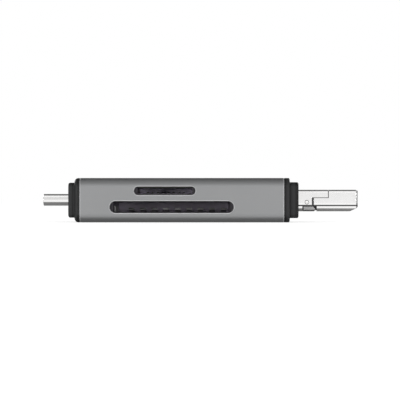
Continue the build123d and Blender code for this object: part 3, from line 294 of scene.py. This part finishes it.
def satin(point):
    x, y, z = axes(point)
    texture = grain(point, 0.07, detail=2.0, rough=0.6)
    flow = grain(point, 3.0, detail=1.0)
    to_step = abs(x - CAP_STEPS[0])
    for step in CAP_STEPS[1:]:
        to_step = to_step.least(abs(x - step))
    # painted shade at each step and along the outer edge, also a little glossier
    painted_shade_and_gloss = to_step.fall(0.06, 0.2).most(x.rise(DARK_EDGE - 0.2, DARK_EDGE + 0.1))
    body = blend(texture * 0.6 + flow * 0.4, grey(0.024, -0.02), grey(0.037, -0.02))
    return {
        "base_color": blend(painted_shade_and_gloss, body, grey(0.010, -0.02)),
        "roughness": 0.42 + 0.16 * texture + 0.05 * flow - 0.08 * painted_shade_and_gloss,
        "relief": (texture, 0.006),
    }


dress(finish("cap_plastic", satin, edge=0.06, specular_ior_level=0.2), "usb_c_end_cap", "usb_a_end_cap")

# %% [markdown]
# Where the plug shells get painted shade
#
# The shells are stamped or drawn from strip and nickel plated. The inner walls, the pressed crease, the
# guides and the cut edges are rougher and get painted shade, a dark colour, so that a gap or a groove
# reads as a clean dark line. The solids have no separate faces to choose for this, so each plug has a mask
# from its own section: deeper than the sheet is inside.

# %% Places of painted shade
FLAT_LOW, FLAT_HIGH = (np.array(corner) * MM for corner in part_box("usb_a_base_shell"))
OVAL_LOW, OVAL_HIGH = (np.array(corner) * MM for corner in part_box("usb_c_shell"))
SHEET = 0.25
CREASE_LOW, CREASE_HIGH = 3.35, 3.61
GUIDES_X, GUIDES_Y = (21.75, 24.57), (4.7, 5.3)
PARTING_X, PARTING_Z = (27.03, 27.15), (5.15, 6.5)
CUT_EDGE = 0.04
SMALL_LOW, SMALL_HIGH = (np.array(corner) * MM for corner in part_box("micro_usb_shell"))
SMALL_HALF_FLOOR, SMALL_FLARE = 2.65, 0.775


def inside(value, low, high, soft=0.02):
    """1 between two limits, with a narrow soft step at each."""
    return value.rise(low - soft, low + soft) * value.fall(high - soft, high + soft)


def flat_hollow(x, y, z):
    """Where the flat plug gets painted shade: its inner walls and crease and, less dark, its guides and
    cut edges.
    """
    skin = 0.9 * SHEET
    wall = inside(y, FLAT_LOW[1] + skin, FLAT_HIGH[1] - skin)
    core = wall * inside(z, CREASE_LOW, FLAT_HIGH[2] - skin)
    crease = inside(z, CREASE_LOW - 0.02, CREASE_HIGH + 0.02)
    guides = inside(abs(y), *GUIDES_Y) * z.fall(CREASE_LOW - 0.04, CREASE_LOW) * inside(x, *GUIDES_X)
    cut_edges = inside(x, PARTING_X[0] - CUT_EDGE, PARTING_X[1] + CUT_EDGE) * inside(z, *PARTING_Z)
    return core.most(crease).most(0.72 * guides).most(0.6 * cut_edges)


def oval_hollow(x, y, z):
    """Where the oval plug gets painted shade: its inner wall, deeper than the sheet within a stretched
    circle.
    """
    width, height = OVAL_HIGH[1] - OVAL_LOW[1], OVAL_HIGH[2] - OVAL_LOW[2]
    middle = (OVAL_HIGH[2] + OVAL_LOW[2]) / 2
    return from_slot(y, z, (0.0, middle, width, height)).fall(-0.9 * SHEET, -0.8 * SHEET)


def small_hollow(x, y, z):
    """Where the small plug gets painted shade: its inner wall, inside its box and inside its two flared
    lower sides.
    """
    skin = 0.9 * SHEET
    across = inside(y, SMALL_LOW[1] + skin, SMALL_HIGH[1] - skin)
    upright = inside(z, SMALL_LOW[2] + skin, SMALL_HIGH[2] - skin)
    flare = (z - float(SMALL_LOW[2])) * SMALL_FLARE + SMALL_HALF_FLOOR
    return across * upright * (abs(y) - flare).fall(-SHEET - 0.02, -SHEET + 0.02)


print("flat plug", FLAT_LOW.round(2), "to", FLAT_HIGH.round(2))

# %% [markdown]
# The plug shells: bright nickel over steel
#
# Drawing and rolling leave fine lines along the strip, which stretch the gloss along X, and handling
# leaves faint cloudy patches. Both only shift the roughness and the tone by a few hundredths. The flat
# plug's side starts to turn in just above its crease, which a shallow relief gives.

# %% Shells


def no_shoulder(x, y, z):
    return 0.0


def flat_shoulder(x, y, z):
    """The flat plug's side starts to turn in just above the crease: its height from there up."""
    return z.rise(CREASE_HIGH - 0.05, CREASE_HIGH + 0.4)


def plated(hollow, shoulder=no_shoulder):
    def recipe(point):
        painted_shade_and_dull = hollow(*axes(point))
        lines = grain(point, 0.06, stretch=(90.0, 1.0, 1.0), detail=2.0)
        clouds = grain(point, 1.6, detail=3.0, rough=0.55)
        bright = blend(lines * 0.5 + clouds * 0.5, grey(0.78, 0.006), grey(0.87, 0.006))
        return {
            # painted shade: inner walls, crease, guides and cut edges are coloured dark, and are rougher
            "base_color": blend(painted_shade_and_dull, bright, grey(0.06)),
            "roughness": 0.07 + 0.06 * lines + 0.06 * clouds + 0.3 * painted_shade_and_dull,
            "relief": (0.02 * lines + shoulder(*axes(point)), 0.03),
        }

    return recipe


dress(
    finish("flat_plug_nickel", plated(flat_hollow, flat_shoulder), edge=0.015, metallic=1.0),
    "usb_a_base_shell",
    "flip_head_shell",
)
dress(finish("oval_plug_nickel", plated(oval_hollow), edge=0.04, metallic=1.0), "usb_c_shell")
dress(finish("small_plug_nickel", plated(small_hollow), edge=0.04, metallic=1.0), "micro_usb_shell")

# %% [markdown]
# The rivets: turned heads
#
# A rivet's head is faced on a lathe, so its marks are rings around the hinge's axis. The distance from
# that axis, taken through a sine, gives the rings. The sunken rim around the head gets painted shade: a
# darker, rougher ring.

# %% Rivets
PIVOT = [value * MM for value in frame["joints"][0]["pos_m"]]


def turned(point):
    x, y, z = axes(point)
    reach = ((x - PIVOT[0]) * (x - PIVOT[0]) + (z - PIVOT[2]) * (z - PIVOT[2])).root()
    rings = 0.5 + 0.5 * (reach * 90.0).math("SINE")
    clouds = grain(point, 0.3, detail=2.0)
    # painted shade in the sunken ring round the head
    painted_ring_shade = reach.rise(0.34, 0.37)
    face = blend(clouds, grey(0.72, 0.01), grey(0.84, 0.01))
    return {
        "base_color": blend(painted_ring_shade, face, grey(0.18)),
        "roughness": 0.16 + 0.1 * rings + 0.05 * clouds + 0.15 * painted_ring_shade,
        "relief": (rings, 0.0015),
    }


dress(finish("rivet_steel", turned, edge=0.03, metallic=1.0), "hinge_pins")

# %% [markdown]
# Springs, latches and folded socket covers
#
# Spring strip is rolled and left bright: its lines run along the strip. The card sockets' springs, the
# socket covers and the crystal's can are the same kind of sheet, a little duller, and the small slot's
# springs are a darker copy: painted shade deep in that slot. A cover's cut front edge gets painted shade,
# so that it doesn't show as a pale line in the mouth of the slot.

# %% Sheet metal


def rolled(level, gloss):
    def recipe(point):
        lines = grain(point, 0.05, stretch=(1.0, 60.0, 1.0), detail=2.0)
        clouds = grain(point, 1.2, detail=2.0)
        return {
            "base_color": blend(lines * 0.6 + clouds * 0.4, grey(level * 0.9), grey(level * 1.08)),
            "roughness": gloss + 0.12 * lines + 0.06 * clouds,
            "relief": (lines, 0.001),
        }

    return recipe


COVER_FRONT = float(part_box("tf_socket_cover")[0][1]) * MM
PAINTED_SHADE_BAND = (COVER_FRONT + 0.02, COVER_FRONT + 0.06)


def folded(point):
    """A socket cover: bright rolled sheet, with painted shade along its cut front edge."""
    made = rolled(0.5, 0.45)(point)
    x, y, z = axes(point)
    # painted shade along the cut front edge, in the shaded mouth of the slot
    made["base_color"] = blend(y.fall(*PAINTED_SHADE_BAND), made["base_color"], grey(0.03))
    return made


dress(finish("spring_steel", rolled(0.62, 0.18), metallic=1.0), "usb_c_latch_plate", "micro_usb_latches")
dress(finish("socket_spring", rolled(0.4, 0.45), metallic=1.0), "sd_contacts", "sd_detect_spring")
# painted shade: a darker copy of the socket spring for the small slot's contacts
dress(finish("small_socket_painted_shade", rolled(0.22, 0.45), metallic=1.0), "tf_contacts")
dress(finish("socket_sheet", folded, metallic=1.0), "sd_socket_cover", "tf_socket_cover")
dress(finish("crystal_can", rolled(0.52, 0.28), metallic=1.0), "crystal")

# %% [markdown]
# Gold contacts
#
# The contacts are copper alloy with a thin gold layer. Gold is soft, so its lustre is uneven: small
# clouds in the roughness and a slight swing towards copper.

# %% Contacts


def gilded(point):
    clouds = grain(point, 0.4, detail=3.0)
    lines = grain(point, 0.04, stretch=(30.0, 30.0, 1.0), detail=1.0)
    return {
        "base_color": blend(clouds, (0.72, 0.47, 0.17, 1.0), (0.88, 0.66, 0.31, 1.0)),
        "roughness": 0.18 + 0.14 * clouds + 0.08 * lines,
        "relief": (clouds, 0.001),
    }


dress(
    finish("contact_gold", gilded, metallic=1.0),
    "usb_c_contacts",
    "terminal_springs",
    "micro_usb_contacts",
    "flip_head_contacts",
)

# %% [markdown]
# Moulded plastics inside
#
# Card channels and plug cores are glass-filled nylon, black and slightly mottled where the short fibres
# lie near the skin. The blocks that hold the card contacts stand deep in the slots, and their pale colour
# is painted light, standing in for light that hardly reaches so deep; the small slot's block is paler
# still. The channels are painted paler towards them, the same painted light, so the slots aren't pitch
# black. The chips are epoxy with a coarser filler.

# %% Cores, sockets and chips


PAINTED_LIGHT_DEPTH = (-9.0, 2.0)


def plum(level):
    """Black resin's own tint: a little purple."""
    return (level * 1.03, level * 0.95, level * 1.12, 1.0)


def moulded(dark, pale, speck, gloss):
    def recipe(point):
        fibres = grain(point, speck, stretch=(1.0, 4.0, 1.0), detail=3.0, rough=0.6)
        return {
            "base_color": blend(fibres, plum(dark), plum(pale)),
            "roughness": gloss + 0.2 * fibres,
            "relief": (fibres, 0.003),
        }

    return recipe


def channel(point):
    """A card channel: black at its mouth, and painted paler deep inside as painted light."""
    made = moulded(0.04, 0.07, 0.08, 0.5)(point)
    x, y, z = axes(point)
    # painted light: the channel pales deep inside the slot
    made["base_color"] = blend(y.rise(*PAINTED_LIGHT_DEPTH), made["base_color"], plum(0.3))
    return made


dress(finish("channel_plastic", channel, specular_ior_level=0.3), "sd_socket_base", "tf_socket_base")
# painted light: the deep contact blocks are coloured pale, the small one paler
for name, dark, pale, block in (
    ("contact_block_painted_light", 0.44, 0.54, "sd_contact_block"),
    ("small_block_painted_light", 0.8, 0.9, "tf_contact_block"),
):
    dress(finish(name, moulded(dark, pale, 0.08, 0.5), specular_ior_level=0.3), block)
dress(
    finish("core_plastic", moulded(0.016, 0.034, 0.1, 0.35)),
    "usb_c_insulator",
    "plug_carrier",
    "micro_usb_insulator",
    "flip_head_tray",
)
dress(finish("chip_epoxy", moulded(0.018, 0.04, 0.05, 0.5)), "controller_chip", "regulator")

# %% [markdown]
# The board and its capacitors
#
# The board is glass cloth under a green lacquer, and copper tracks lie beneath it as paler bands. The
# tracks here follow the edges between Voronoi cells, measured with square distances so that they turn
# at right angles as routed copper does. A capacitor is a tan ceramic block with tinned ends.

# %% Board


def lacquered(point):
    cells = point.node(
        "ShaderNodeTexVoronoi",
        {"feature": "F1", "distance": "CHEBYCHEV"},
        {"Vector": point, "Scale": 0.7, "Randomness": 0.6},
        output="Distance",
    )
    tracks = (cells - 0.34).math("PINGPONG", 0.11).fall(0.02, 0.05)
    cloth = grain(point, 0.25, detail=1.0)
    return {
        "base_color": blend(
            tracks * 0.8 + cloth * 0.1, (0.008, 0.055, 0.03, 1.0), (0.025, 0.14, 0.06, 1.0)
        ),
        "roughness": 0.22 + 0.12 * cloth,
        "relief": (tracks, 0.02),
    }


def ceramic(point):
    x, y, z = axes(point)
    low, high = (corner[1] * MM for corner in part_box("capacitors"))
    ends = (y - low).least(high - y).fall(0.3, 0.34)
    speck = grain(point, 0.1, detail=2.0)
    body = blend(speck, (0.36, 0.25, 0.14, 1.0), (0.5, 0.37, 0.22, 1.0))
    return {
        "base_color": blend(ends, body, grey(0.72)),
        "metallic": ends,
        "roughness": 0.5 - 0.2 * ends + 0.1 * speck,
        "relief": (speck, 0.003),
    }


dress(finish("board_mask", lacquered, coat_weight=0.3), "main_board")
dress(finish("capacitor_ceramic", ceramic), "capacitors")

# %% [markdown]
# The floor: white paper, with painted shade close in for mirrors
#
# The floor is a real pale surface that keeps the shadow. To the camera it shines as much as its own light
# lacks of white, which depends on how far off it lies. A polished plug mirrors the paper. Glossy rays see
# the paper darker than the camera does: white from a little way out, and painted shade under the reader
# and past the tip of the flat plug, a grey that only mirrors show, which gives the plugs' undersides and
# the flat plug's tip a dark line.

# %% Floor
FLOOR, FLOOR_DROP = 3.0, 0.00002
WHITE_BY_PLUGS, WHITE_BY_SLEEVE, FAR_PAPER = (7.2, 10.0), (12.9, 14.9), (60.0, 160.0)
TIP_SLANT, PAST_TIP = 1.2, (23.8, 26.8)
PLUG_SIDE = (1.0, 3.0)
floor_mesh = bpy.data.meshes.new("floor")
corner_x, corner_y = np.meshgrid([-FLOOR, FLOOR], [-FLOOR, FLOOR], indexing="ij")
corners = np.stack([corner_x, corner_y, np.full((2, 2), -FLOOR_DROP)], axis=-1).reshape(-1, 3)
floor_mesh.from_pydata(corners.tolist(), [], [(0, 2, 3, 1)])
floor = bpy.data.objects.new("floor", floor_mesh)
bpy.context.scene.collection.objects.link(floor)

paper = bpy.data.materials.new("white_paper")
paper.use_nodes = True
tree = paper.node_tree
sheet = tree.nodes["Principled BSDF"]
sheet.inputs["Roughness"].default_value = 0.9
sheet.inputs["Specular IOR Level"].default_value = 0.0
sheet.inputs["Emission Strength"].default_value = 1.0


def ray(tree, kind):
    """1 for the rays of one kind, such as those from the camera or off a glossy surface."""
    return Wire(tree).node("ShaderNodeLightPath", output=f"Is {kind} Ray")


x, y, z = axes(place(tree))
reach = (x * x + y * y).root()
far = reach.rise(*FAR_PAPER) * (1 - 0.6 * (abs(x) / reach).rise(0.6, 0.8))
past_end = (float(SLEEVE_LOW[0]) - x).most(x - float(SLEEVE_HIGH[0]))
beside = past_end.rise(*PLUG_SIDE)
out = abs(y)
ahead = beside * out.rise(*WHITE_BY_PLUGS) + (1 - beside) * out.rise(*WHITE_BY_SLEEVE)
past_tip = (x - TIP_SLANT * out).rise(*PAST_TIP)
# painted shade for mirrors: grey close in, white from a little way out
white_beyond_painted_shade = ahead * ((1 - past_tip) * 0.86).most(far)
glossy = ray(tree, "Glossy")
seen = ray(tree, "Camera") + ray(tree, "Transmission")
# painted shade: glossy rays see the paper at 0.3 instead of 0.8
plug(sheet.inputs["Base Color"], blend(glossy, grey(0.8), grey(0.3)))
white = 0.74 - 0.15 * y.rise(0.0, 500.0) + 0.21 * y.rise(600.0, 1100.0)
shine = seen * white + glossy * (0.2 - 0.06 * beside + white_beyond_painted_shade)
plug(sheet.inputs["Emission Color"], blend(shine, grey(0.0), grey(1.0)))
floor_mesh.materials.append(paper)
print("floor laid at", corners[0, 2])

# %% [markdown]
# The world: a white room with dark flags
#
# The eye sees plain white. As light the room is an even, weak glow, because the lamps do the lighting.
# What polished metal mirrors is drawn by direction instead: a bright strip each side of the camera, pale
# walls left and right, and a white band round the horizon. All else is a dark flag, which draws the thin
# dark lines along polished edges.

# %% World
world = bpy.data.worlds.new("studio")
bpy.context.scene.world = world
world.use_nodes = True
tree = world.node_tree
background = tree.nodes["Background"]
background.inputs["Color"].default_value = grey(1.0)
AMBIENT = 0.26
FLAG = 0.15

east, north, up = axes(Wire(tree).node("ShaderNodeTexCoord", output="Generated"))
aside = abs(east)
right = east.rise(-0.05, 0.05)
front = (north + 0.45 * right).fall(0.0, 0.2)
tall = (right * up.rise(0.03, 0.12)).most(up.rise(0.72, 0.82))
strips = aside.rise(0.045, 0.06) * aside.fall(0.15, 0.19) * front * (0.88 + 0.3 * tall)
walls = aside.rise(0.4, 0.55) * (0.85 - 0.5 * aside.rise(0.65, 0.8))
behind = north.rise(0.2, 0.5) * up.fall(0.2, 0.35)
horizon = (front * up.fall(0.35, 0.75)).most(behind) * aside.fall(0.5, 0.65) * 0.83
mirrored = strips.most(walls).most(horizon).most(FLAG)
camera_ray, glossy = ray(tree, "Camera"), ray(tree, "Glossy")
clear = (camera_ray + ray(tree, "Transmission")).least(1.0)
plug(background.inputs["Strength"], clear + (1 - clear) * (glossy * mirrored + (1 - glossy) * AMBIENT))
print("world: white to the eye,", AMBIENT, "as light")

# %% [markdown]
# The lamps
#
# The portrait was taken edge-on by soft light from the camera's side: the sleeve's front is an even grey
# and its rounded edges fall away to dark. Two low softboxes left and right of the camera do that, and
# leave a gap between them, so that the flat plug's face mirrors an even white. Two behind the reader
# serve the other views.


# %% Lamps
def softbox(name, place, aim, width, height, power):
    """A rectangular lamp at a place, turned to face a point."""
    lamp = bpy.data.lights.new(name, "AREA")
    lamp.shape = "RECTANGLE"
    lamp.size = width
    lamp.size_y = height
    lamp.energy = power
    holder = bpy.data.objects.new(name, lamp)
    holder.location = place
    away = np.array(place) - np.array(aim)
    flat = math.hypot(away[0], away[1])
    holder.rotation_euler = (math.atan2(flat, away[2]), 0.0, math.atan2(away[0], -away[1]))
    bpy.context.scene.collection.objects.link(holder)
    return holder


TARGET = (0.0, 0.0, SLEEVE_MIDDLE / MM)
for side, hand in (("left", -1), ("right", 1)):
    softbox(f"softbox_front_{side}", (hand * 0.45, -0.68, 0.05), TARGET, width=0.4, height=0.14, power=2.4)
    softbox(f"softbox_back_{side}", (hand * 0.6, 0.6, 0.22), TARGET, width=0.4, height=0.3, power=1.8)
print("four softboxes aimed at", TARGET)

# %% [markdown]
# The camera
#
# The slot face fills the frame at 4.85 pixels to the millimetre in a 400 pixel picture, and the plugs,
# further back, are a little smaller. That pair of scales puts the camera 300 mm in front of the slot
# face, level with the middle of the reader, and it gives the focal length.

# %% Camera
FRAME_PIXELS, PIXELS_PER_MM = 400.0, 4.85
DISTANCE, EYE_HEIGHT = 0.300, 0.00464
slot_face = float(SLEEVE_LOW[1]) / MM
camera = bpy.data.cameras.new("camera")
camera.sensor_width = 36.0
camera.lens = camera.sensor_width * PIXELS_PER_MM * DISTANCE * MM / FRAME_PIXELS
camera.clip_start = 0.01
camera.clip_end = 20.0
eye = bpy.data.objects.new("camera", camera)
eye.location = (0.0, slot_face - DISTANCE, EYE_HEIGHT)
eye.rotation_euler = (math.pi / 2, 0.0, 0.0)
bpy.context.scene.collection.objects.link(eye)
bpy.context.scene.camera = eye
bpy.context.scene.view_settings.view_transform = "Standard"
print("lens", round(camera.lens, 1), "mm at", tuple(round(v, 4) for v in eye.location))
